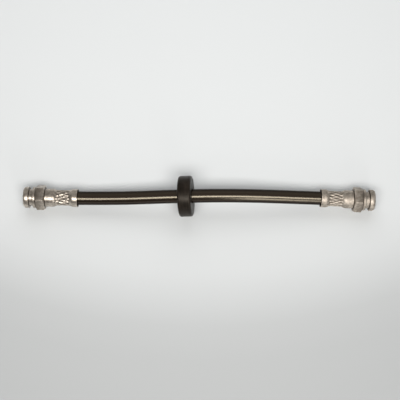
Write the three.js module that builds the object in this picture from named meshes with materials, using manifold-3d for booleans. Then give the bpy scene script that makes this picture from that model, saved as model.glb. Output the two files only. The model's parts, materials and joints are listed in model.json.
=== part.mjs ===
// A car's brake hose as it lies on a bench: a black rubber hose between two crimped steel end
// fittings with female threads, and a round rubber grommet on the hose left of its middle.
//
// Millimetres. +X runs along the hose from its left end to its right end, +Z is up, and Z = 0 is the
// surface that it lies on. The origin is on that surface, under the middle of the overall length.
// It stands on the outer edge of each fitting's hexagon and on the grommet's rim, which lifts the
// middle of the hose into a low arch and makes both fittings lean outwards.

import * as THREE from "three";
import { mergeVertices } from "three/addons/utils/BufferGeometryUtils.js";
import Module from "manifold-3d";

const wasm = await Module();
wasm.setup();

const degrees = THREE.MathUtils.degToRad;

// Driving sizes

const OVERALL_LENGTH = 262; // as it lies, from end to end
const RUNNING_GAP = 0.3; // left between pieces that touch or grip each other

// Hose
const HOSE_RADIUS = 5.1;
const HOSE_BORE_RADIUS = 1.6;
const HOSE_SIDES = 12;
const HOSE_STEPS = 28;
const HOSE_OVERLAP = 2; // how far the free stretch runs into each fitting's mouth

// Grommet on the hose
const GROMMET_X = -10.5;
const GROMMET_RADIUS = 15.3;
const GROMMET_RIM_WIDTH = 8.6;
const GROMMET_HUB_WIDTH = 13;
const GROMMET_HUB_RADIUS = 10.2; // where the flat sides end and the curved shoulders start
const GROMMET_SHOULDER_FULLNESS = 0.3; // 0 is a straight cone, 1 a square shoulder
const GROMMET_SHOULDER_STEPS = 5;
const GROMMET_FACETS = 48;
const GROMMET_LEAN = degrees(2.4); // square to the hose, which still rises there

// End fitting, as lengths along its axis from the end face and radii round it
const COLLAR_RADIUS = 7.9;
const COLLAR_LENGTH = 3.8;
const COLLAR_CHAMFER_LENGTH = 1.2;
const COLLAR_CHAMFER_DEPTH = 0.8;
const GROOVE_RADIUS = 6.1;
const GROOVE_WIDTH = 3.1; // takes the bracket's spring clip
const FLANGE_RADIUS = 7.9;
const FLANGE_LENGTH = 2.3;
const HEX_ACROSS_FLATS = 17;
const HEX_LENGTH = 6.6;
const HEX_CHAMFER_ANGLE = degrees(30);
const SLEEVE_RADIUS = 6.7;
const SLEEVE_LENGTH = 24.4;
const SLEEVE_WALL = 1.1;
const MOUTH_WALL = 0.6;
const MOUTH_FLARE_LENGTH = 3;
const LIP_BEVEL = 0.3;

// Female port in the fitting's end
const THREAD_MINOR_RADIUS = 4.5; // M10 x 1
const THREAD_LEAD_IN = 0.7;
const PORT_DEPTH = 11;
const SEAT_HALF_ANGLE = degrees(59);
const PASSAGE_RADIUS = 1.4;
const SOCKET_FLOOR = 2.3; // solid metal between the hexagon's inner face and the hose socket
const BORE_FACETS = 24;

// Crimp: rows of lens-shaped dents, each row turned by half a pitch from the one before
const CRIMP_LENGTH = 15;
const CRIMP_FADE = 3.2; // how gently it starts and ends
const CRIMP_STEPS = 14;
const CRIMP_SQUEEZE = 0.9; // how far the ridges sink below the sleeve
const CRIMP_DENT = 0.6; // how far the dents sink below the ridges
const CRIMP_DENTS_ROUND = 14;
const CRIMP_ROW_SPACING = 3.6;
const CRIMP_SHARPNESS = 0.5; // lower gives flatter dents with narrower ridges
const CRIMP_DENT_ONSET = 3; // higher starts the dents further in than the squeeze
const FACETS_PER_DENT = 4;

// Insert nipple that the hose is pushed over
const INSERT_RADIUS = 1.85;
const INSERT_BORE_RADIUS = 1.3;
const INSERT_HEAD_RADIUS = 2.35;
const INSERT_HEAD_LENGTH = 2.2;
const INSERT_SHORT_OF_MOUTH = 1.5;
const INSERT_TIP_LENGTH = 1;
const INSERT_TIP_WALL = 0.2;
const BARB_COUNT = 5;
const BARB_HEIGHT = 0.3;
const BARB_PITCH = 2.5;
const BARB_SLOPE = 0.8; // share of the pitch that each barb slopes over
const INSERT_FACETS = 16;

// How each end lies: its offset to the side, the lean that lowers its outer end and its turn in plan,
// and how far from the mouth and at what angle it was crimped
const LEFT_END = {
  side: -1,
  offset: 0.62,
  lean: degrees(2),
  turn: degrees(-1.2),
  crimpFromMouth: 3.3,
  crimpTurn: 0,
};
const RIGHT_END = {
  side: 1,
  offset: 0.13,
  lean: degrees(3.3),
  turn: degrees(-1),
  crimpFromMouth: 3.5,
  crimpTurn: degrees(12),
};

// Sizes that follow

const GROMMET_HEIGHT =
  GROMMET_RADIUS * Math.cos(GROMMET_LEAN) + (GROMMET_RIM_WIDTH / 2) * Math.sin(GROMMET_LEAN);
const GROOVE_START = COLLAR_LENGTH;
const FLANGE_START = GROOVE_START + GROOVE_WIDTH;
const HEX_START = FLANGE_START + FLANGE_LENGTH;
const SLEEVE_START = HEX_START + HEX_LENGTH;
const SOCKET_START = SLEEVE_START + SOCKET_FLOOR;
const FITTING_LENGTH = SLEEVE_START + SLEEVE_LENGTH;
const FITTING_FACETS = CRIMP_DENTS_ROUND * FACETS_PER_DENT;
const SOCKET_RADIUS = SLEEVE_RADIUS - SLEEVE_WALL;
const MOUTH_RADIUS = SLEEVE_RADIUS - MOUTH_WALL;
const END_FACE_RADIUS = COLLAR_RADIUS - COLLAR_CHAMFER_DEPTH;
const SEAT_LENGTH = (THREAD_MINOR_RADIUS - PASSAGE_RADIUS) / Math.tan(SEAT_HALF_ANGLE);
const POCKET_RADIUS = INSERT_HEAD_RADIUS + RUNNING_GAP;
const POCKET_START = SOCKET_START - INSERT_HEAD_LENGTH - RUNNING_GAP;
const INSERT_END = FITTING_LENGTH - INSERT_SHORT_OF_MOUTH;
const HEX_CORNER_RADIUS = HEX_ACROSS_FLATS / Math.sqrt(3);
const CUT_MARGIN = 1; // how far a cutting solid reaches past the face that it cuts through

// Where the hose's centre line runs between the two mouths. It starts and ends on the fittings' axes.
const HOSE_ROUTE = [
  [-82, -0.33, 9.85],
  [-73, -0.43, 10.35],
  [-64, -0.52, 11.05],
  [-55, -0.57, 11.85],
  [-46, -0.55, 12.75],
  [-37, -0.45, 13.65],
  [-28, -0.3, 14.45],
  [-19, -0.14, 15.1],
  [GROMMET_X, 0, GROMMET_HEIGHT],
  [-2, 0.22, 15.8],
  [7, 0.38, 16.0],
  [16, 0.52, 15.95],
  [25, 0.66, 15.65],
  [34, 0.77, 15.15],
  [43, 0.86, 14.45],
  [52, 0.91, 13.65],
  [61, 0.93, 12.8],
  [70, 0.92, 11.95],
  [79, 0.89, 11.2],
];

// Materials

const platedSteel = new THREE.MeshStandardMaterial({
  color: 0xb4ada5,
  roughness: 0.34,
  metalness: 0.95,
});
const bareSteel = new THREE.MeshStandardMaterial({
  color: 0x9a9a98,
  roughness: 0.4,
  metalness: 0.9,
});
const hoseRubber = new THREE.MeshStandardMaterial({
  color: 0x221e19,
  roughness: 0.32,
  metalness: 0,
});
const grommetRubber = new THREE.MeshStandardMaterial({
  color: 0x2b2724,
  roughness: 0.7,
  metalness: 0,
});

// Solid helpers

// A closed geometry as a solid that can be cut and joined.
function toSolid(geometry) {
  const bare = geometry.clone();
  bare.deleteAttribute("normal");
  bare.deleteAttribute("uv");
  const merged = mergeVertices(bare, 1e-4);
  return new wasm.Manifold(
    new wasm.Mesh({
      numProp: 3,
      vertProperties: merged.attributes.position.array,
      triVerts: new Uint32Array(merged.index.array),
    }),
  );
}

// A solid as a geometry again.
function toGeometry(solid) {
  const mesh = solid.getMesh();
  const geometry = new THREE.BufferGeometry();
  geometry.setAttribute("position", new THREE.BufferAttribute(mesh.vertProperties, 3));
  geometry.setIndex(new THREE.BufferAttribute(mesh.triVerts, 1));
  geometry.computeVertexNormals();
  return geometry;
}

// A profile of [along, radius] points turned round the X axis.
function turned(profile, facets) {
  const points = profile.map(([along, radius]) => new THREE.Vector2(radius, along));
  return new THREE.LatheGeometry(points, facets).rotateZ(-Math.PI / 2);
}

function smoothStep(t) {
  const held = THREE.MathUtils.clamp(t, 0, 1);
  return held * held * (3 - 2 * held);
}

function named(name, geometry, material) {
  const mesh = new THREE.Mesh(geometry, material);
  mesh.name = name;
  return mesh;
}

// Crimp

function crimpStart(end) {
  return FITTING_LENGTH - end.crimpFromMouth - CRIMP_LENGTH;
}

// 1 in the crimped stretch and 0 outside it, easing between the two.
function crimpShare(along, end) {
  const into = along - crimpStart(end);
  return smoothStep(into / CRIMP_FADE) * smoothStep((CRIMP_LENGTH - into) / CRIMP_FADE);
}

// How far the crimping jaws push the sleeve in. The dents lie where two families of diagonals cross.
function crimpDepth(along, angle, end) {
  const row = (along - crimpStart(end) - CRIMP_LENGTH / 2) / (2 * CRIMP_ROW_SPACING);
  const turn = ((angle - end.crimpTurn) * CRIMP_DENTS_ROUND) / (2 * Math.PI);
  const lattice = Math.abs(Math.cos(Math.PI * (row + turn)) * Math.cos(Math.PI * (row - turn)));
  const share = crimpShare(along, end);
  const dent = CRIMP_DENT * lattice ** CRIMP_SHARPNESS;
  return share * CRIMP_SQUEEZE + share ** CRIMP_DENT_ONSET * dent;
}

// Presses the dents into the turned outside of the sleeve.
function crimped(geometry, end) {
  const position = geometry.attributes.position;
  for (let i = 0; i < position.count; i++) {
    const along = position.getX(i);
    const radius = Math.hypot(position.getY(i), position.getZ(i));
    if (along <= SLEEVE_START || radius < SLEEVE_RADIUS / 2) continue;
    const angle = Math.atan2(position.getY(i), position.getZ(i));
    const pressed = (radius - crimpDepth(along, angle, end)) / radius;
    position.setY(i, position.getY(i) * pressed);
    position.setZ(i, position.getZ(i) * pressed);
  }
  return geometry;
}

function crimpStations(end) {
  const stations = [];
  for (let i = 0; i <= CRIMP_STEPS; i++) {
    stations.push(crimpStart(end) + (CRIMP_LENGTH * i) / CRIMP_STEPS);
  }
  return stations;
}

// The sleeve's inner wall is pushed in by the squeeze and half of the dents' depth, evenly all round.
function socketRadius(along, end) {
  const share = crimpShare(along, end);
  return SOCKET_RADIUS - share * CRIMP_SQUEEZE - (share ** CRIMP_DENT_ONSET * CRIMP_DENT) / 2;
}

// End fitting

function fittingOutside(end) {
  const profile = [
    [0, 0],
    [0, END_FACE_RADIUS],
    [COLLAR_CHAMFER_LENGTH, COLLAR_RADIUS],
    [GROOVE_START, COLLAR_RADIUS],
    [GROOVE_START, GROOVE_RADIUS],
    [FLANGE_START, GROOVE_RADIUS],
    [FLANGE_START, FLANGE_RADIUS],
    [HEX_START + HEX_LENGTH / 2, FLANGE_RADIUS],
    [HEX_START + HEX_LENGTH / 2, SLEEVE_RADIUS],
    ...crimpStations(end).map((along) => [along, SLEEVE_RADIUS]),
    [FITTING_LENGTH - LIP_BEVEL, SLEEVE_RADIUS],
    [FITTING_LENGTH, SLEEVE_RADIUS - LIP_BEVEL],
    [FITTING_LENGTH, 0],
  ];
  return toSolid(crimped(turned(profile, FITTING_FACETS), end));
}

// Port, seat, passage, the pocket for the nipple's head, the hose socket and its flared mouth.
function fittingInside(end) {
  const flare = (MOUTH_RADIUS - SOCKET_RADIUS) / MOUTH_FLARE_LENGTH;
  const profile = [
    [-CUT_MARGIN, 0],
    [-CUT_MARGIN, THREAD_MINOR_RADIUS + THREAD_LEAD_IN + CUT_MARGIN],
    [THREAD_LEAD_IN, THREAD_MINOR_RADIUS],
    [PORT_DEPTH, THREAD_MINOR_RADIUS],
    [PORT_DEPTH + SEAT_LENGTH, PASSAGE_RADIUS],
    [POCKET_START, PASSAGE_RADIUS],
    [POCKET_START, POCKET_RADIUS],
    [SOCKET_START, POCKET_RADIUS],
    [SOCKET_START, SOCKET_RADIUS],
    ...crimpStations(end).map((along) => [along, socketRadius(along, end)]),
    [FITTING_LENGTH - MOUTH_FLARE_LENGTH, SOCKET_RADIUS],
    [FITTING_LENGTH + CUT_MARGIN, MOUTH_RADIUS + flare * CUT_MARGIN],
    [FITTING_LENGTH + CUT_MARGIN, 0],
  ];
  return toSolid(turned(profile, BORE_FACETS));
}

// The hexagon with both ends chamfered to its inscribed circle, flats up and down.
function hexagon() {
  const prism = new THREE.CylinderGeometry(
    HEX_CORNER_RADIUS,
    HEX_CORNER_RADIUS,
    HEX_LENGTH,
    6,
    1,
    false,
    Math.PI / 6,
  )
    .rotateZ(-Math.PI / 2)
    .translate(HEX_START + HEX_LENGTH / 2, 0, 0);
  const flat = HEX_ACROSS_FLATS / 2;
  const past = HEX_CORNER_RADIUS - flat + CUT_MARGIN;
  const run = past * Math.tan(HEX_CHAMFER_ANGLE);
  const chamfer = [
    [HEX_START, 0],
    [HEX_START, flat],
    [HEX_START + run, flat + past],
    [SLEEVE_START - run, flat + past],
    [SLEEVE_START, flat],
    [SLEEVE_START, 0],
  ];
  return toSolid(prism).intersect(toSolid(turned(chamfer, FITTING_FACETS)));
}

function fittingBody(end) {
  return toGeometry(fittingOutside(end).add(hexagon()).subtract(fittingInside(end)));
}

// Insert nipple

function insertNipple(end) {
  const head = SOCKET_START - INSERT_HEAD_LENGTH;
  const firstBarb = crimpStart(end) + CRIMP_FADE / 2;
  const barbs = [];
  for (let i = 0; i < BARB_COUNT; i++) {
    const crest = firstBarb + i * BARB_PITCH;
    barbs.push([crest, INSERT_RADIUS], [crest, INSERT_RADIUS + BARB_HEIGHT]);
    barbs.push([crest + BARB_PITCH * BARB_SLOPE, INSERT_RADIUS]);
  }
  const profile = [
    [head, INSERT_BORE_RADIUS],
    [head, INSERT_HEAD_RADIUS],
    [SOCKET_START, INSERT_HEAD_RADIUS],
    [SOCKET_START, INSERT_RADIUS],
    ...barbs,
    [INSERT_END - INSERT_TIP_LENGTH, INSERT_RADIUS],
    [INSERT_END, INSERT_BORE_RADIUS + INSERT_TIP_WALL],
    [INSERT_END, INSERT_BORE_RADIUS],
    [head, INSERT_BORE_RADIUS],
  ];
  return turned(profile, INSERT_FACETS);
}

// Placing the ends

// How high the middle of the end face lies when the hexagon's outer edge touches the bench.
function endFaceHeight(end) {
  return (HEX_ACROSS_FLATS / 2) * Math.cos(end.lean) - HEX_START * Math.sin(end.lean);
}

// A fitting's own frame: its origin in the end face, +X along its axis towards the hose.
function endFrame(end) {
  const awry = Math.acos(Math.cos(end.lean) * Math.cos(end.turn));
  const rimReach = END_FACE_RADIUS * Math.sin(awry);
  const facing = end.side > 0 ? Math.PI : 0;
  const frame = new THREE.Group();
  frame.position.set(end.side * (OVERALL_LENGTH / 2 - rimReach), end.offset, endFaceHeight(end));
  frame.rotation.set(0, -end.lean, facing + end.turn, "ZYX");
  frame.updateMatrixWorld(true);
  return frame;
}

const leftFrame = endFrame(LEFT_END);
const rightFrame = endFrame(RIGHT_END);

// Hose

function pointOnAxis(frame, along) {
  return new THREE.Vector3(along, 0, 0).applyMatrix4(frame.matrixWorld);
}

// The centre line of the free stretch, from just inside one mouth to just inside the other.
function hoseLine() {
  const inside = FITTING_LENGTH - HOSE_OVERLAP;
  return new THREE.CatmullRomCurve3(
    [
      pointOnAxis(leftFrame, inside),
      pointOnAxis(leftFrame, FITTING_LENGTH),
      ...HOSE_ROUTE.map((point) => new THREE.Vector3(...point)),
      pointOnAxis(rightFrame, FITTING_LENGTH),
      pointOnAxis(rightFrame, inside),
    ],
    false,
    "centripetal",
  );
}

// A round bar of the given radius along the hose's centre line.
function alongHose(radius) {
  const section = new THREE.Shape();
  for (let i = 0; i < HOSE_SIDES; i++) {
    const angle = (2 * Math.PI * i) / HOSE_SIDES;
    const step = i ? "lineTo" : "moveTo";
    section[step](radius * Math.cos(angle), radius * Math.sin(angle));
  }
  section.closePath();
  return new THREE.ExtrudeGeometry(section, {
    steps: HOSE_STEPS,
    extrudePath: hoseLine(),
    curveSegments: 1,
  });
}

// The hose's end inside a fitting, squeezed under the crimp, with its bore stretched over the nipple.
function hoseTail(end, frame) {
  const hoseEnd = SOCKET_START + RUNNING_GAP;
  const inside = FITTING_LENGTH - HOSE_OVERLAP / 2;
  const stretched = INSERT_RADIUS + BARB_HEIGHT + RUNNING_GAP;
  const squeezed = crimpStations(end).map((along) => {
    return [along, Math.min(HOSE_RADIUS, socketRadius(along, end) - RUNNING_GAP)];
  });
  const bar = [[hoseEnd, 0], [hoseEnd, HOSE_RADIUS], ...squeezed, [inside, HOSE_RADIUS], [inside, 0]];
  const bore = [
    [hoseEnd - CUT_MARGIN, 0],
    [hoseEnd - CUT_MARGIN, stretched],
    [INSERT_END + RUNNING_GAP, stretched],
    [INSERT_END + RUNNING_GAP, HOSE_BORE_RADIUS],
    [inside, HOSE_BORE_RADIUS],
    [inside, 0],
  ];
  const place = (profile) => toSolid(turned(profile, HOSE_SIDES).applyMatrix4(frame.matrixWorld));
  return { bar: place(bar), bore: place(bore) };
}

function hose() {
  const left = hoseTail(LEFT_END, leftFrame);
  const right = hoseTail(RIGHT_END, rightFrame);
  const bar = toSolid(alongHose(HOSE_RADIUS)).add(left.bar).add(right.bar);
  const bore = toSolid(alongHose(HOSE_BORE_RADIUS)).add(left.bore).add(right.bore);
  return toGeometry(bar.subtract(bore));
}

// Grommet

function grommetShoulder() {
  const rim = new THREE.Vector2(GROMMET_RIM_WIDTH / 2, GROMMET_RADIUS);
  const hub = new THREE.Vector2(GROMMET_HUB_WIDTH / 2, GROMMET_HUB_RADIUS);
  const square = new THREE.Vector2(hub.x, rim.y);
  const pull = rim.clone().lerp(hub, 0.5).lerp(square, GROMMET_SHOULDER_FULLNESS);
  return new THREE.QuadraticBezierCurve(rim, pull, hub).getPoints(GROMMET_SHOULDER_STEPS);
}

// Stands on its rim, square to the hose, and its bore follows the hose that it grips.
function grommet() {
  const shoulder = grommetShoulder().map((point) => [point.x, point.y]);
  const mirrored = shoulder.map(([along, radius]) => [-along, radius]).reverse();
  const half = GROMMET_HUB_WIDTH / 2;
  const disc = turned([[-half, 0], ...mirrored, ...shoulder, [half, 0]], GROMMET_FACETS);
  disc.rotateY(-GROMMET_LEAN).translate(GROMMET_X, 0, GROMMET_HEIGHT);
  return toGeometry(toSolid(disc).subtract(toSolid(alongHose(HOSE_RADIUS + RUNNING_GAP))));
}

// Assembly

leftFrame.add(named("left_end_fitting", fittingBody(LEFT_END), platedSteel));
leftFrame.add(named("left_insert_nipple", insertNipple(LEFT_END), bareSteel));
rightFrame.add(named("right_end_fitting", fittingBody(RIGHT_END), platedSteel));
rightFrame.add(named("right_insert_nipple", insertNipple(RIGHT_END), bareSteel));

const brakeHose = new THREE.Group();
brakeHose.add(leftFrame);
brakeHose.add(rightFrame);
brakeHose.add(named("hose", hose(), hoseRubber));
brakeHose.add(named("grommet", grommet(), grommetRubber));

export default brakeHose;
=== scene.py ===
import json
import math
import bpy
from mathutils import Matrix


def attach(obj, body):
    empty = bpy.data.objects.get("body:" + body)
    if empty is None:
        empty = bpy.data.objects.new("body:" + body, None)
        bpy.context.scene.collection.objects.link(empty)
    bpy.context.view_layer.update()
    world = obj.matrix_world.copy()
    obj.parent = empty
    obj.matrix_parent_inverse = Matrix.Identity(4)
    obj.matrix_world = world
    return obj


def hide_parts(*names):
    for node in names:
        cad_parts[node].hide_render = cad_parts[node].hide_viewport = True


bl_info = {
    "name": "Brake Hose",
    "version": (1, 0, 0),
    "blender": (4, 5, 0),
    "location": "View3D > Sidebar > Brake Hose",
    "description": "Builds a rubber brake hose with crimped steel end fittings on a pale studio floor",
    "category": "Object",
}

import bmesh
import bpy
from bpy.props import FloatProperty, FloatVectorProperty, IntProperty, PointerProperty
from bpy.types import Operator, Panel, PropertyGroup
from mathutils import Matrix, Vector
from mathutils.geometry import interpolate_bezier

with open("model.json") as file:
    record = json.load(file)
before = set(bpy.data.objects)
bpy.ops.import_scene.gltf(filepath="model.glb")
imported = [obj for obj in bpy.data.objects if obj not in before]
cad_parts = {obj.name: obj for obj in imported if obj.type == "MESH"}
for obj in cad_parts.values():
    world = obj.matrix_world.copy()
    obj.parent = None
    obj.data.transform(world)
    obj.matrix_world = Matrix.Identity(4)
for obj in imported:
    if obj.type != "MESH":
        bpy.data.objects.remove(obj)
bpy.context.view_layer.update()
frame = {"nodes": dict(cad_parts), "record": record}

MM = 0.001
TURN = 2 * math.pi
SIDES = ("left", "right")
BODY = "root"

# Where the hose passes through the grommet, in metres.
GROMMET_PLACE = Vector((-0.0105, 0.0, 0.0154666))

# Where the hose's centre line runs between the two mouths, in metres. Inside the sleeves it lies
# on the fittings' axes.
HOSE_ROUTE = (
    (-0.082, -0.00033, 0.00985),
    (-0.073, -0.00043, 0.01035),
    (-0.064, -0.00052, 0.01105),
    (-0.055, -0.00057, 0.01185),
    (-0.046, -0.00055, 0.01275),
    (-0.037, -0.00045, 0.01365),
    (-0.028, -0.0003, 0.01445),
    (-0.019, -0.00014, 0.0151),
    tuple(GROMMET_PLACE),
    (-0.002, 0.00022, 0.0158),
    (0.007, 0.00038, 0.016),
    (0.016, 0.00052, 0.01595),
    (0.025, 0.00066, 0.01565),
    (0.034, 0.00077, 0.01515),
    (0.043, 0.00086, 0.01445),
    (0.052, 0.00091, 0.01365),
    (0.061, 0.00093, 0.0128),
    (0.07, 0.00092, 0.01195),
    (0.079, 0.00089, 0.0112),
)

# How far each crimp stays from its sleeve's mouth, and how far it is turned round the axis.
CRIMPS = {
    "left": (3.3 * MM, 0.0),
    "right": (3.5 * MM, math.radians(12)),
}

# Powers that shape the crimp: a lower sharpness narrows the ridges between the dents, and a higher
# onset keeps the dents further from the crimp's ends.
CRIMP_SHARPNESS = 0.5
CRIMP_DENT_ONSET = 3

# Roundings on the turned steel.
COLLAR_EDGE = 0.15 * MM
GROOVE_EDGE = 0.2 * MM
FLANGE_EDGE = 0.3 * MM
FINE_EDGE = 0.12 * MM
SLEEVE_FILLET = 0.3 * MM
MOUTH_EDGE = 0.18 * MM
BORE_EDGE = 0.1 * MM

# The hexagon's blank is turned a little wider than its corners, with a chamfer down to a washer
# face just inside the flats.
HEX_BLANK_OVERSIZE = 1.01
HEX_CHAMFER = math.radians(30)
WASHER_INSET = 0.15 * MM

# The thread's flat share at crest and root, and the turns over which it starts and fades out.
THREAD_FLAT = 0.15
THREAD_START = 0.3
THREAD_FADE = 1.2

# How finely the turned pieces are divided.
HOSE_STEPS = 64
GROMMET_STEPS = 128
STEPS_PER_DENT = 12
STEPS_PER_THREAD = 10
CRIMP_STEP = 0.32 * MM
SOCKET_STEP = 0.8 * MM
BORE_STEP = 6 * MM
SMOOTH_ANGLE = math.radians(35)
TOLERANCE = 0.02 * MM

# This attribute holds painted light and shade: it runs from below zero on the crimp's ridges, which
# are painted lighter as a highlight, to above zero in the dents and the turned corners, which are
# painted darker as shade.
PAINTED_SHADING_SPAN = 2.8
CORNER_PAINTED_SHADE = 2.0
CORNER_SHADE_REACH = 0.7 * MM
ROUGHNESS_SPREAD = 0.18

# What the camera aims at, how high above the floor the front lights aim, and the direction's Y
# from which the room's light rises towards the back.
CAMERA_TARGET = Vector((0.00054, -0.00074, 0.00864))
LIGHT_TARGET_HEIGHT = 10 * MM
DARKEST_FRONT = -0.8

# Painted light on the floor: its tone against its plain colour, from the front to the back, darkening
# towards the front and, by the bend, to both sides as a falloff of light.
FLOOR_PAINTED_FALLOFF = (
    (-0.3, 0.58),
    (-0.16, 0.6),
    (-0.12, 0.63),
    (-0.095, 0.675),
    (-0.078, 0.755),
    (-0.054, 0.86),
    (-0.031, 0.925),
    (0.038, 0.99),
    (0.093, 1.015),
    (0.15, 1.025),
)
FLOOR_FALLOFF_BEND = -1.2


# Settings


def length(name, description, millimetres):
    return FloatProperty(
        name=name,
        description=description,
        default=millimetres * MM,
        min=0.0,
        precision=5,
        unit="LENGTH",
    )


def tint(name, description, colour):
    return FloatVectorProperty(
        name=name, description=description, default=colour, min=0.0, max=1.0, subtype="COLOR"
    )


class FittingSizes(PropertyGroup):
    end_mount_radius: length("End face point", "Radius of the end face's mount point", 6.15)
    collar_radius: length("Collar radius", "Radius of the collar and the flange", 7.9)
    collar_length: length("Collar length", "Length of the collar from the end face", 3.8)
    chamfer_length: length("Chamfer length", "Length of the collar's chamfer", 1.2)
    chamfer_depth: length("Chamfer depth", "Depth of the collar's chamfer", 0.8)
    groove_radius: length("Groove radius", "Radius at the bottom of the clip groove", 6.1)
    groove_width: length("Groove width", "Width of the clip groove", 3.1)
    flange_length: length("Flange length", "Length of the flange beside the hexagon", 2.3)
    hex_across_flats: length("Across flats", "Size of the hexagon across its flats", 17.0)
    hex_length: length("Hexagon length", "Length of the hexagon", 6.6)
    sleeve_radius: length("Sleeve radius", "Outside radius of the crimped sleeve", 6.7)
    sleeve_length: length("Sleeve length", "Length from the hexagon to the mouth", 24.4)
    sleeve_wall: length("Sleeve wall", "Wall of the sleeve", 1.1)
    mouth_wall: length("Mouth wall", "Wall at the sleeve's mouth", 0.4)
    mouth_flare: length("Mouth flare", "Length over which the mouth widens", 3.0)
    port_depth: length("Port depth", "Depth of the threaded port", 11.0)
    thread_minor_radius: length("Thread minor radius", "Radius at the thread's crests", 4.5)
    thread_depth: length("Thread depth", "Depth of the thread", 0.54)
    thread_pitch: length("Thread pitch", "Pitch of the thread", 1.0)
    thread_lead_in: length("Lead-in", "Chamfer at the port's mouth", 0.7)
    seat_length: length("Seat length", "Length of the cone at the port's floor", 1.86)
    passage_radius: length("Passage radius", "Radius of the fluid passage", 1.4)
    pocket_radius: length("Pocket radius", "Radius of the pocket for the nipple's head", 2.65)
    pocket_length: length("Pocket length", "Length of the pocket for the nipple's head", 2.5)
    socket_floor: length("Socket floor", "Metal between hexagon and hose socket", 2.3)
    crimp_length: length("Crimp length", "Length of the crimped stretch", 15.0)
    crimp_fade: length("Crimp fade", "Length over which the crimp starts and ends", 3.2)
    crimp_squeeze: length("Squeeze", "How far the ridges sink below the sleeve", 0.9)
    crimp_dent: length("Dent", "How far the dents sink below the ridges", 0.6)
    crimp_row_spacing: length("Row spacing", "Distance between rows of dents", 3.6)
    crimp_dents_round: IntProperty(
        name="Dents round", description="Dents in each row", default=14, min=3
    )


class HoseSizes(PropertyGroup):
    radius: length("Radius", "Outside radius of the hose", 5.1)
    bore_radius: length("Bore radius", "Radius of the hose's bore", 1.6)
    stretched_radius: length("Stretched bore", "Radius of the bore over the nipple", 2.45)
    clearance: length("Clearance", "Gap between pieces that grip each other", 0.3)
    nipple_inset: length("Nipple inset", "How far the nipple ends inside the sleeve's mouth", 1.5)
    step: length("Step", "Length of one step along the hose", 1.5)


class GrommetSizes(PropertyGroup):
    radius: length("Radius", "Outside radius of the grommet", 15.14)
    width: length("Width", "Width between the flat sides", 9.8)
    edge_rounding: length("Edge rounding", "How far the rim's edges are rounded", 1.4)
    bore_radius: length("Bore radius", "Radius of the hole that grips the hose", 5.25)
    right: length("Shift", "How far right of its place on the hose its middle is", 0.6)
    lean: FloatProperty(
        name="Lean",
        description="How far the grommet leans to the left",
        default=math.radians(6.8),
        subtype="ANGLE",
    )


class Finishes(PropertyGroup):
    steel_light: tint("Light steel", "Brighter tone of the zinc plating", (0.66, 0.595, 0.52))
    steel_dark: tint("Dark steel", "Duller tone of the zinc plating", (0.31, 0.27, 0.23))
    # Painted shade in the steel's corners and the crimp's dents.
    painted_shade: tint("Grime", "Dark grime in the steel's corners and dents", (0.06, 0.05, 0.04))
    left_roughness: FloatProperty(
        name="Left roughness", description="The left fitting's greatest roughness", default=0.43
    )
    right_roughness: FloatProperty(
        name="Right roughness", description="The right fitting's greatest roughness", default=0.64
    )
    insert_steel: tint("Insert steel", "Plain turned steel of the nipples", (0.45, 0.44, 0.43))
    # Near-black tint standing in for the shade inside the sleeve.
    socket_painted_shade: tint("Socket steel", "Dark steel inside the sleeve", (0.02, 0.016, 0.013))
    hose_rubber: tint("Hose rubber", "Rubber of the hose", (0.0085, 0.0042, 0.0024))
    hose_sheen: tint("Hose sheen", "Tint of the hose's gloss", (1.0, 0.89, 0.7))
    grommet_rubber: tint("Grommet rubber", "Rubber of the grommet", (0.006, 0.0045, 0.0035))
    grommet_bloom: tint("Grommet bloom", "Paler bloom on the rubber", (0.0192, 0.0144, 0.0112))
    grommet_sheen: tint("Grommet sheen", "Tint of the grommet's gloss", (1.0, 0.9, 0.78))
    floor: tint("Floor", "Pale floor", (0.725, 0.753, 0.772))


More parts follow.
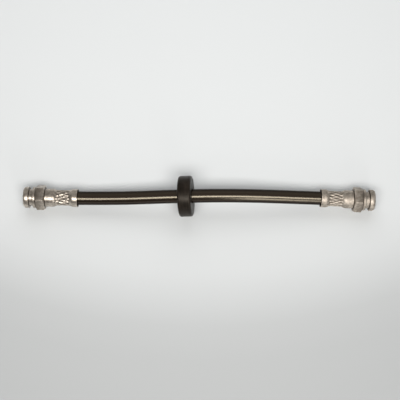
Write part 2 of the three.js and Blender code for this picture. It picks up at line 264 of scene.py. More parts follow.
class StageSizes(PropertyGroup):
    elevation: FloatProperty(
        name="Elevation",
        description="How far the camera looks down",
        default=math.radians(73),
        subtype="ANGLE",
    )
    roll: FloatProperty(
        name="Roll",
        description="How far the camera is turned about its own line of sight",
        default=math.radians(0.407),
        subtype="ANGLE",
    )
    distance: length("Distance", "From the camera to the fittings' axis", 747.6)
    focal_length: FloatProperty(
        name="Focal length",
        description="The camera's focal length in millimetres",
        default=90.0,
        subtype="DISTANCE_CAMERA",
    )
    floor_size: length("Floor size", "Side of the square floor", 3000.0)
    key_elevation: FloatProperty(
        name="Key elevation",
        description="How high the key light stands in front of the part",
        default=math.radians(60),
        subtype="ANGLE",
    )
    key_distance: length("Key distance", "From the key light to the part", 850.0)
    key_width: length("Key width", "Length of the key light along the hose", 780.0)
    key_height: length("Key height", "Height of the key light", 300.0)
    key_left: length("Key offset", "How far left of the part the key light's middle is", 20.0)
    key_power: FloatProperty(name="Key power", description="Power of the key light", default=6.6)
    key_colour: tint("Key colour", "Colour of the key light", (1.0, 0.97, 0.93))
    side_elevation: FloatProperty(
        name="Side elevation",
        description="How high the low light stands at the front right",
        default=math.radians(20),
        subtype="ANGLE",
    )
    side_distance: length("Side distance", "From the low light to the part", 800.0)
    side_right: length("Side offset", "How far right of the part the low light's middle is", 200.0)
    side_width: length("Side width", "Length of the low light along the hose", 140.0)
    side_height: length("Side height", "Height of the low light", 420.0)
    side_power: FloatProperty(
        name="Side power", description="Power of the low light", default=1.05
    )
    side_colour: tint("Side colour", "Colour of the low light", (1.0, 0.97, 0.92))
    fill_distance: length("Fill distance", "From the fill light to the part", 800.0)
    fill_size: length("Fill size", "Side of the square fill light behind the part", 700.0)
    fill_power: FloatProperty(
        name="Fill power", description="Power of the fill light behind the part", default=2.6
    )
    fill_colour: tint("Fill colour", "Colour of the fill light", (1.0, 0.99, 0.98))
    room_front: FloatProperty(
        name="Room in front", description="Light from the dark room in front", default=0.1
    )
    room_back: FloatProperty(
        name="Room behind", description="Light from the room behind", default=0.4
    )
    room_colour: tint("Room colour", "Colour of the room's light", (1.0, 0.985, 0.955))


# Frames and curves


def smooth_step(t):
    held = min(max(t, 0.0), 1.0)
    return held * held * (3 - 2 * held)


def fitting_place(side, size):
    """A fitting's own frame: its origin in the end face, +X along its axis towards the hose."""
    name = side + "_end_face"
    mount = next(m for m in frame["record"]["mounts"] if m["name"] == name)
    along = -Vector(mount["axis"]).normalized()
    up = (Vector((0, 0, 1)) - along * along.z).normalized()
    centre = Vector(mount["pos_m"]) - up * size.end_mount_radius
    axes = Matrix((along, up.cross(along), up)).transposed()
    return Matrix.Translation(centre) @ axes.to_4x4()


def sleeve_start(size):
    return size.collar_length + size.groove_width + size.flange_length + size.hex_length


def fitting_length(size):
    return sleeve_start(size) + size.sleeve_length


def smooth_line(points, step):
    """A curve through the points, as points about a step apart."""
    knots = [Vector(p) for p in points]
    ends = [knots[0] * 2 - knots[1], *knots, knots[-1] * 2 - knots[-2]]
    line = [knots[0]]
    for before, start, end, after in zip(ends, ends[1:], ends[2:], ends[3:]):
        count = max(2, round((end - start).length / step) + 1)
        reach = (end - start).length
        leave = (end - before).normalized() * reach / 3
        arrive = (after - start).normalized() * reach / 3
        line += interpolate_bezier(start, start + leave, end - arrive, end, count)[1:]
    return line


def hose_line(context):
    """The hose's centre line from its left cut end to its right one."""
    size = context.scene.brake_hose_fitting
    hose = context.scene.brake_hose_hose
    places = [fitting_place(side, size) for side in SIDES]
    cut_end = sleeve_start(size) + size.socket_floor + hose.clearance
    mouth = fitting_length(size)
    middle = (cut_end + mouth) / 2
    left = [places[0] @ Vector((x, 0, 0)) for x in (cut_end, middle, mouth)]
    right = [places[1] @ Vector((x, 0, 0)) for x in (mouth, middle, cut_end)]
    return smooth_line([*left, *HOSE_ROUTE, *right], hose.step)


# Mesh helpers


def turned(profile, steps, corner_segments=3):
    """A closed section of (along, radius, rounding) turned round the X axis."""
    bm = bmesh.new()
    verts = [bm.verts.new((along, 0, radius)) for along, radius, _ in profile]
    for pair in zip(verts, verts[1:] + verts[:1]):
        bm.edges.new(pair)
    corners = {}
    for vert, (_, _, rounding) in zip(verts, profile):
        if rounding:
            corners.setdefault(rounding, []).append(vert)
    for rounding, group in corners.items():
        bmesh.ops.bevel(
            bm,
            geom=group,
            offset=rounding,
            segments=corner_segments,
            profile=0.5,
            affect="VERTICES",
            material=-1,
        )
    bmesh.ops.spin(
        bm,
        geom=bm.verts[:] + bm.edges[:],
        cent=(0, 0, 0),
        axis=(1, 0, 0),
        angle=TURN,
        steps=steps,
        use_merge=True,
    )
    bmesh.ops.recalc_face_normals(bm, faces=bm.faces)
    return bm


def unwrap(bm, radius):
    """A UV map in metres: the way round the X axis, and the way along the section."""
    layer = bm.loops.layers.uv.new("section")
    for face in bm.faces:
        middle = face.calc_center_median()
        facing = math.atan2(middle.y, middle.z)
        for loop in face.loops:
            point = loop.vert.co
            angle = math.atan2(point.y, point.z)
            angle += TURN * round((facing - angle) / TURN)
            loop[layer].uv = (angle * radius, point.x + math.hypot(point.y, point.z))


def add_piece(name, bm, materials):
    """Links a bmesh as a piece, smooth apart from its sharp edges."""
    for face in bm.faces:
        face.smooth = True
    for edge in bm.edges:
        edge.smooth = len(edge.link_faces) == 2 and edge.calc_face_angle(0) < SMOOTH_ANGLE
    mesh = bpy.data.meshes.new(name)
    bm.to_mesh(mesh)
    bm.free()
    for material in materials:
        mesh.materials.append(material)
    piece = bpy.data.objects.new(name, mesh)
    bpy.context.scene.collection.objects.link(piece)
    return piece


# End fittings


def crimp_start(size, from_mouth):
    return fitting_length(size) - from_mouth - size.crimp_length


def crimp_share(size, into):
    return smooth_step(into / size.crimp_fade) * smooth_step(
        (size.crimp_length - into) / size.crimp_fade
    )


def crimp_lattice(size, into, angle):
    """1 in the middle of a dent and 0 on the ridges, which run along two families of diagonals."""
    row = (into - size.crimp_length / 2) / (2 * size.crimp_row_spacing)
    turn = angle * size.crimp_dents_round / TURN
    crossing = math.cos(math.pi * (row + turn)) * math.cos(math.pi * (row - turn))
    return abs(crossing) ** CRIMP_SHARPNESS


def socket_radius(size, into):
    share = crimp_share(size, into)
    dent = share**CRIMP_DENT_ONSET * size.crimp_dent / 2
    return size.sleeve_radius - size.sleeve_wall - share * size.crimp_squeeze - dent


def stations(start, end, step):
    count = max(1, round((end - start) / step))
    return [start + (end - start) * i / count for i in range(count + 1)]


def outside_profile(size, from_mouth):
    """The section from the end face to the mouth, before the flats and the crimp are made."""
    groove = size.collar_length
    flange = groove + size.groove_width
    hexagon = flange + size.flange_length
    sleeve = sleeve_start(size)
    mouth = fitting_length(size)
    flat = size.hex_across_flats / 2
    corner = size.hex_across_flats / math.sqrt(3) * HEX_BLANK_OVERSIZE
    washer = flat - WASHER_INSET
    run = (corner - washer) * math.tan(HEX_CHAMFER)
    crimp = crimp_start(size, from_mouth)
    pressed = stations(crimp, crimp + size.crimp_length, CRIMP_STEP)
    return [
        (0, size.collar_radius - size.chamfer_depth, COLLAR_EDGE),
        (size.chamfer_length, size.collar_radius, COLLAR_EDGE),
        (groove, size.collar_radius, GROOVE_EDGE),
        (groove, size.groove_radius, GROOVE_EDGE),
        # These extra stations, a corner shade's reach from the corners, let the painted shade there
        # fade out.
        (groove + CORNER_SHADE_REACH, size.groove_radius, 0),
        (flange - CORNER_SHADE_REACH, size.groove_radius, 0),
        (flange, size.groove_radius, GROOVE_EDGE),
        (flange, size.collar_radius, FLANGE_EDGE),
        (hexagon - CORNER_SHADE_REACH, size.collar_radius, 0),
        (hexagon, size.collar_radius, FINE_EDGE),
        (hexagon, washer, 0),
        (hexagon + run, corner, 0),
        (sleeve - run, corner, 0),
        (sleeve, washer, 0),
        (sleeve, size.sleeve_radius, SLEEVE_FILLET),
        (sleeve + CORNER_SHADE_REACH, size.sleeve_radius, 0),
        *[(x, size.sleeve_radius, 0) for x in pressed],
        (mouth, size.sleeve_radius, MOUTH_EDGE),
    ]


def inside_profile(size, from_mouth):
    """The section from the mouth back to the end face."""
    mouth = fitting_length(size)
    socket = sleeve_start(size) + size.socket_floor
    socket_wall = size.sleeve_radius - size.sleeve_wall
    crimp = crimp_start(size, from_mouth)
    pressed = stations(crimp, crimp + size.crimp_length, SOCKET_STEP)
    turn_step = size.thread_pitch / STEPS_PER_THREAD
    thread = stations(size.thread_lead_in, size.port_depth, turn_step)
    seat = size.port_depth + size.seat_length
    return [
        (mouth, size.sleeve_radius - size.mouth_wall, FINE_EDGE),
        (mouth - size.mouth_flare, socket_wall, BORE_EDGE),
        *[(x, socket_wall, 0) for x in reversed(pressed)],
        (socket, socket_wall, 0),
        (socket, size.pocket_radius, 0),
        (socket - size.pocket_length, size.pocket_radius, 0),
        (socket - size.pocket_length, size.passage_radius, 0),
        (seat, size.passage_radius, BORE_EDGE),
        *[(x, size.thread_minor_radius, 0) for x in reversed(thread)],
        (0, size.thread_minor_radius + size.thread_lead_in, BORE_EDGE),
    ]


def mill_hexagon(bm, size):
    """Cuts the six flats, and eases their edges."""
    flat = size.hex_across_flats / 2
    for i in range(6):
        angle = TURN * i / 6
        outward = Vector((0, math.sin(angle), math.cos(angle)))
        bmesh.ops.bisect_plane(
            bm,
            geom=bm.verts[:] + bm.edges[:] + bm.faces[:],
            dist=1e-8,
            plane_co=outward * flat,
            plane_no=outward,
            clear_outer=True,
        )
        open_edges = [edge for edge in bm.edges if edge.is_boundary]
        bmesh.ops.holes_fill(bm, edges=open_edges, sides=0)
    bm.normal_update()
    # The cuts leave the flats as the only faces with many corners.
    flats = [face for face in bm.faces if len(face.verts) > 8]
    edges = {edge for face in flats for edge in face.edges}
    bmesh.ops.bevel(
        bm,
        geom=list(edges),
        offset=FINE_EDGE,
        segments=2,
        profile=0.5,
        affect="EDGES",
        material=-1,
        clamp_overlap=True,
    )


def press_crimp(bm, size, from_mouth, crimp_turn):
    """Pushes the sleeve in under the crimp: the outside into dents, the inside evenly."""
    start = crimp_start(size, from_mouth)
    painted_shading = bm.verts.layers.float["painted_shading"]
    between = size.sleeve_radius - size.sleeve_wall / 2
    for vert in bm.verts:
        into = vert.co.x - start
        radius = math.hypot(vert.co.y, vert.co.z)
        if not 0 < into < size.crimp_length or radius < size.pocket_radius + TOLERANCE:
            continue
        if radius < between:
            pressed = socket_radius(size, into)
        else:
            angle = math.atan2(vert.co.y, vert.co.z) - crimp_turn
            lattice = crimp_lattice(size, into, angle)
            dent = size.crimp_dent * lattice
            share = crimp_share(size, into)
            # Painted light: the dents are marked for painted shade and the ridges for painted
            # highlight.
            vert[painted_shading] = share * (lattice - 0.5) * PAINTED_SHADING_SPAN
            pressed = radius - share * size.crimp_squeeze - share**CRIMP_DENT_ONSET * dent
        vert.co.y *= pressed / radius
        vert.co.z *= pressed / radius


def mark_corners(bm, size):
    """Marks the turned steps' corners for painted shade, which darkens them as if shadowed."""
    painted_shading = bm.verts.layers.float.new("painted_shading")
    groove = size.collar_length
    flange = groove + size.groove_width
    hexagon = flange + size.flange_length
    sleeve = sleeve_start(size)
    corners = (
        (groove, size.groove_radius),
        (flange, size.groove_radius),
        (hexagon, size.collar_radius),
        (sleeve, size.sleeve_radius),
    )
    for vert in bm.verts:
        radius = math.hypot(vert.co.y, vert.co.z)
        away = min(math.hypot(vert.co.x - x, radius - r) for x, r in corners)
        near = smooth_step((CORNER_SHADE_REACH - away) / (CORNER_SHADE_REACH / 2))
        vert[painted_shading] = CORNER_PAINTED_SHADE * near


def cut_thread(bm, size):
    """A right-hand thread, which starts at the lead-in and fades out at the port's floor."""
    start = THREAD_START * size.thread_pitch
    fade = THREAD_FADE * size.thread_pitch
    for vert in bm.verts:
        radius = math.hypot(vert.co.y, vert.co.z)
        into = vert.co.x - size.thread_lead_in
        left = size.port_depth - vert.co.x
        if abs(radius - size.thread_minor_radius) > TOLERANCE or into < 0 or left < 0:
            continue
        phase = (vert.co.x / size.thread_pitch - math.atan2(vert.co.z, vert.co.y) / TURN) % 1
        flank = (1 - abs(2 * phase - 1) - THREAD_FLAT) / (1 - 2 * THREAD_FLAT)
        groove = smooth_step(flank)
        share = min(1, into / start) * smooth_step(left / fade)
        cut = radius + size.thread_depth * groove * share
        vert.co.y *= cut / radius
        vert.co.z *= cut / radius


def paint_socket_shade(bm, size):
    """Paints shade inside the sleeve with the second, near-black material, and darkens its cut edge
    the same way.
    """
    floor = sleeve_start(size) + size.socket_floor / 2
    for face in bm.faces:
        middle = face.calc_center_median()
        radius = math.hypot(middle.y, middle.z)
        inward = face.normal.y * middle.y + face.normal.z * middle.z < 0
        cut_edge = middle.x > fitting_length(size) - TOLERANCE
        if middle.x > floor and radius > size.passage_radius and (inward or cut_edge):
            face.material_index = 1


class BRAKEHOSE_OT_end_fittings(Operator):
    """Builds both end fittings with their ports, hexagons and crimped sleeves"""

    bl_idname = "brake_hose.end_fittings"
    bl_label = "End Fittings"

    def execute(self, context):
        size = context.scene.brake_hose_fitting
        look = context.scene.brake_hose_finishes
        # The second material paints shade inside each sleeve.
        socket = socket_painted_shade(context)
        finishes = {
            "left": [plated_steel(context, "plated_steel", look.left_roughness), socket],
            "right": [plated_steel(context, "dull_plated_steel", look.right_roughness), socket],
        }
        for side in SIDES:
            from_mouth, crimp_turn = CRIMPS[side]
            profile = outside_profile(size, from_mouth) + inside_profile(size, from_mouth)
            bm = turned(profile, size.crimp_dents_round * STEPS_PER_DENT)
            mark_corners(bm, size)
            press_crimp(bm, size, from_mouth, crimp_turn)
            cut_thread(bm, size)
            mill_hexagon(bm, size)
            unwrap(bm, size.sleeve_radius)
            paint_socket_shade(bm, size)
            bm.transform(fitting_place(side, size))
            piece = add_piece(side + "_fitting", bm, finishes[side])
            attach(piece, BODY)
            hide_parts(side + "_end_fitting")
        return {"FINISHED"}


class BRAKEHOSE_OT_insert_nipples(Operator):
    """Gives the nipples inside the fittings their finish"""

    bl_idname = "brake_hose.insert_nipples"
    bl_label = "Insert Nipples"

    def execute(self, context):
        steel = insert_steel(context)
        for side in SIDES:
            nipple = frame["nodes"][side + "_insert_nipple"]
            nipple.data.materials.clear()
            nipple.data.materials.append(steel)
        return {"FINISHED"}


# Hose


def hose_profile(context, total):
    """The hose's wall laid out straight: outside from left to right, bore from right to left."""
    size = context.scene.brake_hose_fitting
    hose = context.scene.brake_hose_hose
    mouth = fitting_length(size)
    tail = mouth - sleeve_start(size) - size.socket_floor - hose.clearance
    nipple_end = tail - hose.nipple_inset + hose.clearance
    from_mouth = CRIMPS["left"][0]
    outside = []
    for along in stations(0, total, hose.step):
        from_end = min(along, total - along)
        into = from_end - (tail - from_mouth - size.crimp_length)
        squeezed = min(hose.radius, socket_radius(size, into) - hose.clearance)
        outside.append((along, squeezed, 0))
    bore = [
        (total, hose.stretched_radius, 0),
        (total - nipple_end, hose.stretched_radius, 0),
        *[(x, hose.bore_radius, 0) for x in stations(total - nipple_end, nipple_end, BORE_STEP)],
        (nipple_end, hose.stretched_radius, 0),
        (0, hose.stretched_radius, 0),
    ]
    return outside + bore


def lay_along(bm, line):
    """Moves what was built along +X onto the line."""
    runs = [0.0]
    for a, b in zip(line, line[1:]):
        runs.append(runs[-1] + (b - a).length)
    tangents = [(line[1] - line[0]).normalized()]
    for a, b in zip(line, line[2:]):
        tangents.append((b - a).normalized())
    tangents.append((line[-1] - line[-2]).normalized())
    segment = 0
    for vert in sorted(bm.verts, key=lambda v: v.co.x):
        while segment < len(line) - 2 and vert.co.x > runs[segment + 1]:
            segment += 1
        share = (vert.co.x - runs[segment]) / (runs[segment + 1] - runs[segment])
        along = tangents[segment].lerp(tangents[segment + 1], share).normalized()
        up = (Vector((0, 0, 1)) - along * along.z).normalized()
        centre = line[segment].lerp(line[segment + 1], share)
        vert.co = centre + up.cross(along) * vert.co.y + up * vert.co.z


def line_length(line):
    return sum((b - a).length for a, b in zip(line, line[1:]))


class BRAKEHOSE_OT_hose(Operator):
    """Builds the rubber hose along its route, with both ends inside the fittings"""

    bl_idname = "brake_hose.hose"
    bl_label = "Hose"

    def execute(self, context):
        hose = context.scene.brake_hose_hose
        line = hose_line(context)
        total = line_length(line)
        bm = turned(hose_profile(context, total), HOSE_STEPS)
        unwrap(bm, hose.radius)
        lay_along(bm, line)
        piece = add_piece("rubber_hose", bm, [hose_rubber(context)])
        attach(piece, BODY)
        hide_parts("hose")
        return {"FINISHED"}


# Grommet


def grommet_profile(grommet):
    """A plain disc with flat sides, a rounded rim and a hole for the hose."""
    half = grommet.width / 2
    right = [
        (half, grommet.radius, grommet.edge_rounding),
        (half, grommet.bore_radius, grommet.edge_rounding / 3),
    ]
    left = [(-along, radius, rounding) for along, radius, rounding in reversed(right)]
    return right + left


class BRAKEHOSE_OT_grommet(Operator):
    """Builds the moulded rubber grommet on the hose"""

    bl_idname = "brake_hose.grommet"
    bl_label = "Grommet"

    def execute(self, context):
        grommet = context.scene.brake_hose_grommet
        bm = turned(grommet_profile(grommet), GROMMET_STEPS, corner_segments=6)
        unwrap(bm, grommet.radius)
        lean = Matrix.Rotation(-grommet.lean, 4, "Y")
        place = GROMMET_PLACE + Vector((grommet.right, 0, 0))
        bm.transform(Matrix.Translation(place) @ lean)
        piece = add_piece("moulded_grommet", bm, [grommet_rubber(context)])
        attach(piece, BODY)
        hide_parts("grommet")
        return {"FINISHED"}


# Materials


def blank_material(name):
    """A material with its node tree, its shader and a function that adds a node to it."""
    material = bpy.data.materials.new(name)
    material.use_nodes = True
    tree = material.node_tree
    shader = tree.nodes["Principled BSDF"]

    def add(kind, inputs=(), **settings):
        node = tree.nodes.new(kind)
        for key, value in settings.items():
            setattr(node, key, value)
        for socket, value in dict(inputs).items():
            if isinstance(value, bpy.types.NodeSocket):
                tree.links.new(value, node.inputs[socket])
            else:
                node.inputs[socket].default_value = value
        return node

    return material, tree, shader, add


def plated_steel(context, name, roughest):
    """Zinc plating on turned steel: lathe rings and dull patches, with painted highlight on the
    crimp's ridges and painted shade in its dents and the turned corners.
    """
    look = context.scene.brake_hose_finishes
    material, tree, shader, add = blank_material(name)
    section = add("ShaderNodeUVMap", uv_map="section")
    place = add("ShaderNodeTexCoord")
    rings_at = add(
        "ShaderNodeMapping", {"Vector": section.outputs["UV"], "Scale": (60.0, 5200.0, 1.0)}
    )
    rings = add(
        "ShaderNodeTexNoise",
        {"Vector": rings_at.outputs["Vector"], "Scale": 1.0, "Detail": 3.0, "Roughness": 0.6},
    )
    patches = add(
        "ShaderNodeTexNoise",
        {"Vector": place.outputs["Object"], "Scale": 420.0, "Detail": 4.0, "Roughness": 0.6},
    )
    grain = add(
        "ShaderNodeTexNoise",
        {"Vector": place.outputs["Object"], "Scale": 2600.0, "Detail": 3.0, "Roughness": 0.55},
    )
    painted_shading = add("ShaderNodeAttribute", attribute_name="painted_shading")
    # The dull patches plus painted light: lighter on the ridges as painted highlight, darker in the
    # dents as painted shade.
    patches_and_painted_shading = add(
        "ShaderNodeMath",
        {0: painted_shading.outputs["Fac"], 1: -0.3, 2: patches.outputs["Fac"]},
        operation="MULTIPLY_ADD",
    )
    tone = add(
        "ShaderNodeMapRange",
        {"Value": patches_and_painted_shading.outputs["Value"], "From Min": 0.3, "From Max": 0.7},
    )
    colour = add(
        "ShaderNodeMix",
        {
            "Factor": tone.outputs["Result"],
            "A": (*look.steel_dark, 1.0),
            "B": (*look.steel_light, 1.0),
        },
        data_type="RGBA",
    )
    rough = add(
        "ShaderNodeMapRange",
        {
            "Value": grain.outputs["Fac"],
            "From Min": 0.3,
            "From Max": 0.7,
            "To Min": roughest - ROUGHNESS_SPREAD,
            "To Max": roughest,
        },
    )
    ring_bump = add(
        "ShaderNodeBump",
        {"Height": rings.outputs["Fac"], "Strength": 0.35, "Distance": 0.03 * MM},
    )
    grain_bump = add(
        "ShaderNodeBump",
        {
            "Height": grain.outputs["Fac"],
            "Strength": 0.25,
            "Distance": 0.03 * MM,
            "Normal": ring_bump.outputs["Normal"],
        },
    )
    shader.inputs["Metallic"].default_value = 0.95
    # Painted shade: a near-black tint mixed into the corners and the deepest dents.
    painted_shade = add(
        "ShaderNodeMapRange",
        {"Value": painted_shading.outputs["Fac"], "From Min": 0.75, "From Max": 1.75, "To Max": 0.85},
    )
    painted_shade_colour = add(
        "ShaderNodeMix",
        {
            "Factor": painted_shade.outputs["Result"],
            "A": colour.outputs["Result"],
            "B": (*look.painted_shade, 1.0),
        },
        data_type="RGBA",
    )
    tree.links.new(painted_shade_colour.outputs["Result"], shader.inputs["Base Color"])
    tree.links.new(rough.outputs["Result"], shader.inputs["Roughness"])
    tree.links.new(grain_bump.outputs["Normal"], shader.inputs["Normal"])
    return material


def socket_painted_shade(context):
    """Near-black steel that stands in for the shade inside the sleeve, also used on its cut edge."""
    look = context.scene.brake_hose_finishes
    material, tree, shader, add = blank_material("socket_painted_shade")
    place = add("ShaderNodeTexCoord")
    stains = add(
        "ShaderNodeTexNoise", {"Vector": place.outputs["Object"], "Scale": 900.0, "Detail": 3.0}
    )
    rough = add(
        "ShaderNodeMapRange", {"Value": stains.outputs["Fac"], "To Min": 0.5, "To Max": 0.75}
    )
    shader.inputs["Base Color"].default_value = (*look.socket_painted_shade, 1.0)
    shader.inputs["Specular IOR Level"].default_value = 0.2
    tree.links.new(rough.outputs["Result"], shader.inputs["Roughness"])
    return material


def insert_steel(context):
    """Plain turned steel, seen only down the passage."""
    look = context.scene.brake_hose_finishes
    material, tree, shader, add = blank_material("turned_insert_steel")
    place = add("ShaderNodeTexCoord")
    grain = add(
        "ShaderNodeTexNoise", {"Vector": place.outputs["Object"], "Scale": 1800.0, "Detail": 3.0}
    )
    rough = add(
        "ShaderNodeMapRange", {"Value": grain.outputs["Fac"], "To Min": 0.3, "To Max": 0.5}
    )
    shader.inputs["Base Color"].default_value = (*look.insert_steel, 1.0)
    shader.inputs["Metallic"].default_value = 1.0
    tree.links.new(rough.outputs["Result"], shader.inputs["Roughness"])
    return material


def hose_rubber(context):
    """Extruded rubber with fine streaks along its length and a waxy gloss on top."""
    look = context.scene.brake_hose_finishes
    material, tree, shader, add = blank_material("extruded_hose_rubber")
    section = add("ShaderNodeUVMap", uv_map="section")
    streaks_at = add(
        "ShaderNodeMapping", {"Vector": section.outputs["UV"], "Scale": (1500.0, 25.0, 1.0)}
    )
    streaks = add(
        "ShaderNodeTexNoise",
        {"Vector": streaks_at.outputs["Vector"], "Scale": 1.0, "Detail": 3.0},
    )
    dust = add(
        "ShaderNodeTexNoise",
        {"Vector": section.outputs["UV"], "Scale": 900.0, "Detail": 4.0, "Roughness": 0.65},
    )
    rough = add(
        "ShaderNodeMapRange",
        {
            "Value": dust.outputs["Fac"],
            "From Min": 0.3,
            "From Max": 0.7,
            "To Min": 0.16,
            "To Max": 0.25,
        },
    )
    bump = add(
        "ShaderNodeBump",
        {"Height": streaks.outputs["Fac"], "Strength": 0.3, "Distance": 0.02 * MM},
    )
    shader.inputs["Base Color"].default_value = (*look.hose_rubber, 1.0)
    shader.inputs["IOR"].default_value = 1.78
    rim = add("ShaderNodeLayerWeight", {"Blend": 0.5})
    gloss = add(
        "ShaderNodeMapRange",
        {
            "Value": rim.outputs["Facing"],
            "From Min": 0.14,
            "From Max": 0.42,
            "To Min": 0.5,
            "To Max": 0.04,
        },
    )
    tree.links.new(gloss.outputs["Result"], shader.inputs["Specular IOR Level"])
    shader.inputs["Specular Tint"].default_value = (*look.hose_sheen, 1.0)
    tree.links.new(rough.outputs["Result"], shader.inputs["Roughness"])
    tree.links.new(bump.outputs["Normal"], shader.inputs["Normal"])
    return material


def grommet_rubber(context):
    """Matte moulded rubber with a fine grain and a streaky bloom."""
    look = context.scene.brake_hose_finishes
    material, tree, shader, add = blank_material("moulded_grommet_rubber")
    place = add("ShaderNodeTexCoord")
    bloom = add(
        "ShaderNodeTexNoise",
        {"Vector": place.outputs["Object"], "Scale": 220.0, "Detail": 5.0, "Roughness": 0.65},
    )
    grain = add(
        "ShaderNodeTexNoise",
        {"Vector": place.outputs["Object"], "Scale": 2200.0, "Detail": 3.0},
    )
    section = add("ShaderNodeUVMap", uv_map="section")
    streaks_at = add(
        "ShaderNodeMapping", {"Vector": section.outputs["UV"], "Scale": (60.0, 1100.0, 1.0)}
    )
    streaks = add(
        "ShaderNodeTexNoise",
        {"Vector": streaks_at.outputs["Vector"], "Scale": 1.0, "Detail": 3.0, "Roughness": 0.6},
    )
    dusty = add(
        "ShaderNodeMath",
        {0: bloom.outputs["Fac"], 1: streaks.outputs["Fac"]},
        operation="MULTIPLY",
    )
    tone = add(
        "ShaderNodeMapRange", {"Value": dusty.outputs["Value"], "From Min": 0.18, "From Max": 0.36}
    )
    rough = add(
        "ShaderNodeMapRange",
        {
            "Value": streaks.outputs["Fac"],
            "From Min": 0.35,
            "From Max": 0.65,
            "To Min": 0.34,
            "To Max": 0.46,
        },
    )
    colour = add(
        "ShaderNodeMix",
        {
            "Factor": tone.outputs["Result"],
            "A": (*look.grommet_rubber, 1.0),
            "B": (*look.grommet_bloom, 1.0),
        },
        data_type="RGBA",
    )
    bump = add(
        "ShaderNodeBump", {"Height": grain.outputs["Fac"], "Strength": 0.35, "Distance": 0.05 * MM}
    )
    tree.links.new(rough.outputs["Result"], shader.inputs["Roughness"])
    shader.inputs["Specular IOR Level"].default_value = 0.235
    shader.inputs["Specular Tint"].default_value = (*look.grommet_sheen, 1.0)
    tree.links.new(colour.outputs["Result"], shader.inputs["Base Color"])
    tree.links.new(bump.outputs["Normal"], shader.inputs["Normal"])
    return material


def floor_material(context):
    """Pale matte floor with painted light: its tone falls off towards the front and the sides like a
    pool of light.
    """
    look = context.scene.brake_hose_finishes
    material, tree, shader, add = blank_material("pale_floor")
    place = add("ShaderNodeTexCoord")
    parts = add("ShaderNodeSeparateXYZ", {"Vector": place.outputs["Object"]})
    aside = add(
        "ShaderNodeMath", {0: parts.outputs["X"], 1: parts.outputs["X"]}, operation="MULTIPLY"
    )
    bent = add(
        "ShaderNodeMath",
        {0: aside.outputs["Value"], 1: FLOOR_FALLOFF_BEND, 2: parts.outputs["Y"]},
        operation="MULTIPLY_ADD",
    )
    front, back = FLOOR_PAINTED_FALLOFF[0][0], FLOOR_PAINTED_FALLOFF[-1][0]
    along = add(
        "ShaderNodeMapRange", {"Value": bent.outputs["Value"], "From Min": front, "From Max": back}
    )
    level = add("ShaderNodeValToRGB", {"Fac": along.outputs["Result"]})
    stops = level.color_ramp.elements
    stops.remove(stops[1])
    for i, (y, share) in enumerate(FLOOR_PAINTED_FALLOFF):
        stop = stops.new((y - front) / (back - front)) if i else stops[0]
        stop.color = (*(c * share for c in look.floor), 1.0)
    tree.links.new(level.outputs["Color"], shader.inputs["Base Color"])
    shader.inputs["Roughness"].default_value = 0.9
    shader.inputs["Specular IOR Level"].default_value = 0.1
    return material


# Stage


def add_light(name, place, target, size, power, colour):
    lamp = bpy.data.lights.new(name, "AREA")
    lamp.shape = "RECTANGLE"
    lamp.size, lamp.size_y = size
    lamp.energy = power
    lamp.color = colour
    light = bpy.data.objects.new(name, lamp)
    light.location = place
    light.rotation_euler = (Vector(target) - Vector(place)).to_track_quat("-Z", "Y").to_euler()
    bpy.context.scene.collection.objects.link(light)
    return light


def add_front_light(name, right, distance, elevation, size, power, colour):
    """A light in front of the part, which faces straight back at it."""
    place = (right, -distance * math.cos(elevation), distance * math.sin(elevation))
    target = (right, 0, LIGHT_TARGET_HEIGHT)
    return add_light(name, place, target, size, power, colour)


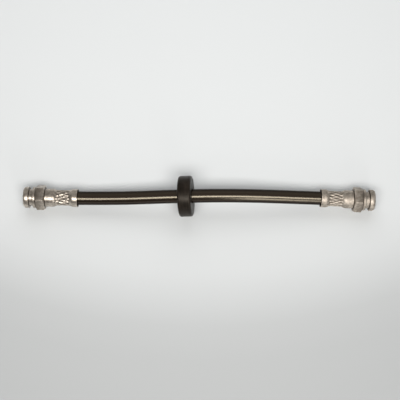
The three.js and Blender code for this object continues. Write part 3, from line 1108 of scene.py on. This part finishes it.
class BRAKEHOSE_OT_stage(Operator):
    """Sets up the floor, the lights and the camera"""

    bl_idname = "brake_hose.stage"
    bl_label = "Stage"

    def execute(self, context):
        stage = context.scene.brake_hose_stage
        bm = bmesh.new()
        bmesh.ops.create_grid(bm, x_segments=1, y_segments=1, size=stage.floor_size / 2)
        floor = add_piece("floor", bm, [floor_material(context)])
        self.light_room(context, stage)
        self.light_part(stage)
        self.aim_camera(context, stage)
        context.scene.view_settings.view_transform = "Standard"
        return {"FINISHED"}

    def light_room(self, context, stage):
        world = bpy.data.worlds.new("studio")
        world.use_nodes = True
        tree = world.node_tree
        background = tree.nodes["Background"]
        background.inputs["Color"].default_value = (*stage.room_colour, 1.0)
        direction = tree.nodes.new("ShaderNodeTexCoord")
        parts = tree.nodes.new("ShaderNodeSeparateXYZ")
        level = tree.nodes.new("ShaderNodeMapRange")
        level.inputs["From Min"].default_value = DARKEST_FRONT
        level.inputs["From Max"].default_value = 1.0
        level.inputs["To Min"].default_value = stage.room_front
        level.inputs["To Max"].default_value = stage.room_back
        tree.links.new(direction.outputs["Generated"], parts.inputs["Vector"])
        tree.links.new(parts.outputs["Y"], level.inputs["Value"])
        tree.links.new(level.outputs["Result"], background.inputs["Strength"])
        context.scene.world = world

    def light_part(self, stage):
        add_front_light(
            "key_softbox",
            -stage.key_left,
            stage.key_distance,
            stage.key_elevation,
            (stage.key_width, stage.key_height),
            stage.key_power,
            stage.key_colour,
        )
        add_front_light(
            "side_softbox",
            stage.side_right,
            stage.side_distance,
            stage.side_elevation,
            (stage.side_width, stage.side_height),
            stage.side_power,
            stage.side_colour,
        )
        slope = stage.fill_distance * math.sqrt(0.5)
        fill = add_light(
            "fill_softbox",
            (0, slope, slope),
            (0, 0, 0),
            (stage.fill_size, stage.fill_size),
            stage.fill_power,
            stage.fill_colour,
        )
        fill.visible_glossy = False

    def aim_camera(self, context, stage):
        back = Vector((0.0, -math.cos(stage.elevation), math.sin(stage.elevation)))
        right = Vector((1.0, 0.0, 0.0))
        axes = Matrix((right, back.cross(right), back)).transposed().to_4x4()
        data = bpy.data.cameras.new("camera")
        data.lens = stage.focal_length
        data.clip_start = 10 * MM
        camera = bpy.data.objects.new("camera", data)
        roll = Matrix.Rotation(stage.roll, 4, "Z")
        place = Matrix.Translation(CAMERA_TARGET + back * stage.distance)
        camera.matrix_world = place @ axes @ roll
        context.scene.collection.objects.link(camera)
        context.scene.camera = camera


# Panel and registration


class BRAKEHOSE_PT_panel(Panel):
    bl_label = "Brake Hose"
    bl_idname = "BRAKEHOSE_PT_panel"
    bl_space_type = "VIEW_3D"
    bl_region_type = "UI"
    bl_category = "Brake Hose"

    def draw(self, context):
        for operator in OPERATORS:
            self.layout.operator(operator.bl_idname)
        for name in SETTINGS:
            box = self.layout.box()
            settings = getattr(context.scene, name)
            for key in settings.__annotations__:
                box.prop(settings, key)


SETTINGS = {
    "brake_hose_fitting": FittingSizes,
    "brake_hose_hose": HoseSizes,
    "brake_hose_grommet": GrommetSizes,
    "brake_hose_finishes": Finishes,
    "brake_hose_stage": StageSizes,
}
OPERATORS = (
    BRAKEHOSE_OT_stage,
    BRAKEHOSE_OT_end_fittings,
    BRAKEHOSE_OT_insert_nipples,
    BRAKEHOSE_OT_grommet,
    BRAKEHOSE_OT_hose,
)


def register():
    for cls in (*SETTINGS.values(), *OPERATORS, BRAKEHOSE_PT_panel):
        bpy.utils.register_class(cls)
    for name, cls in SETTINGS.items():
        setattr(bpy.types.Scene, name, PointerProperty(type=cls))


def unregister():
    for name in SETTINGS:
        delattr(bpy.types.Scene, name)
    for cls in reversed((*SETTINGS.values(), *OPERATORS, BRAKEHOSE_PT_panel)):
        bpy.utils.unregister_class(cls)


def main():
    register()
    bpy.ops.brake_hose.stage()
    bpy.ops.brake_hose.end_fittings()
    bpy.ops.brake_hose.insert_nipples()
    bpy.ops.brake_hose.grommet()
    bpy.ops.brake_hose.hose()


if __name__ == "__main__":
    main()
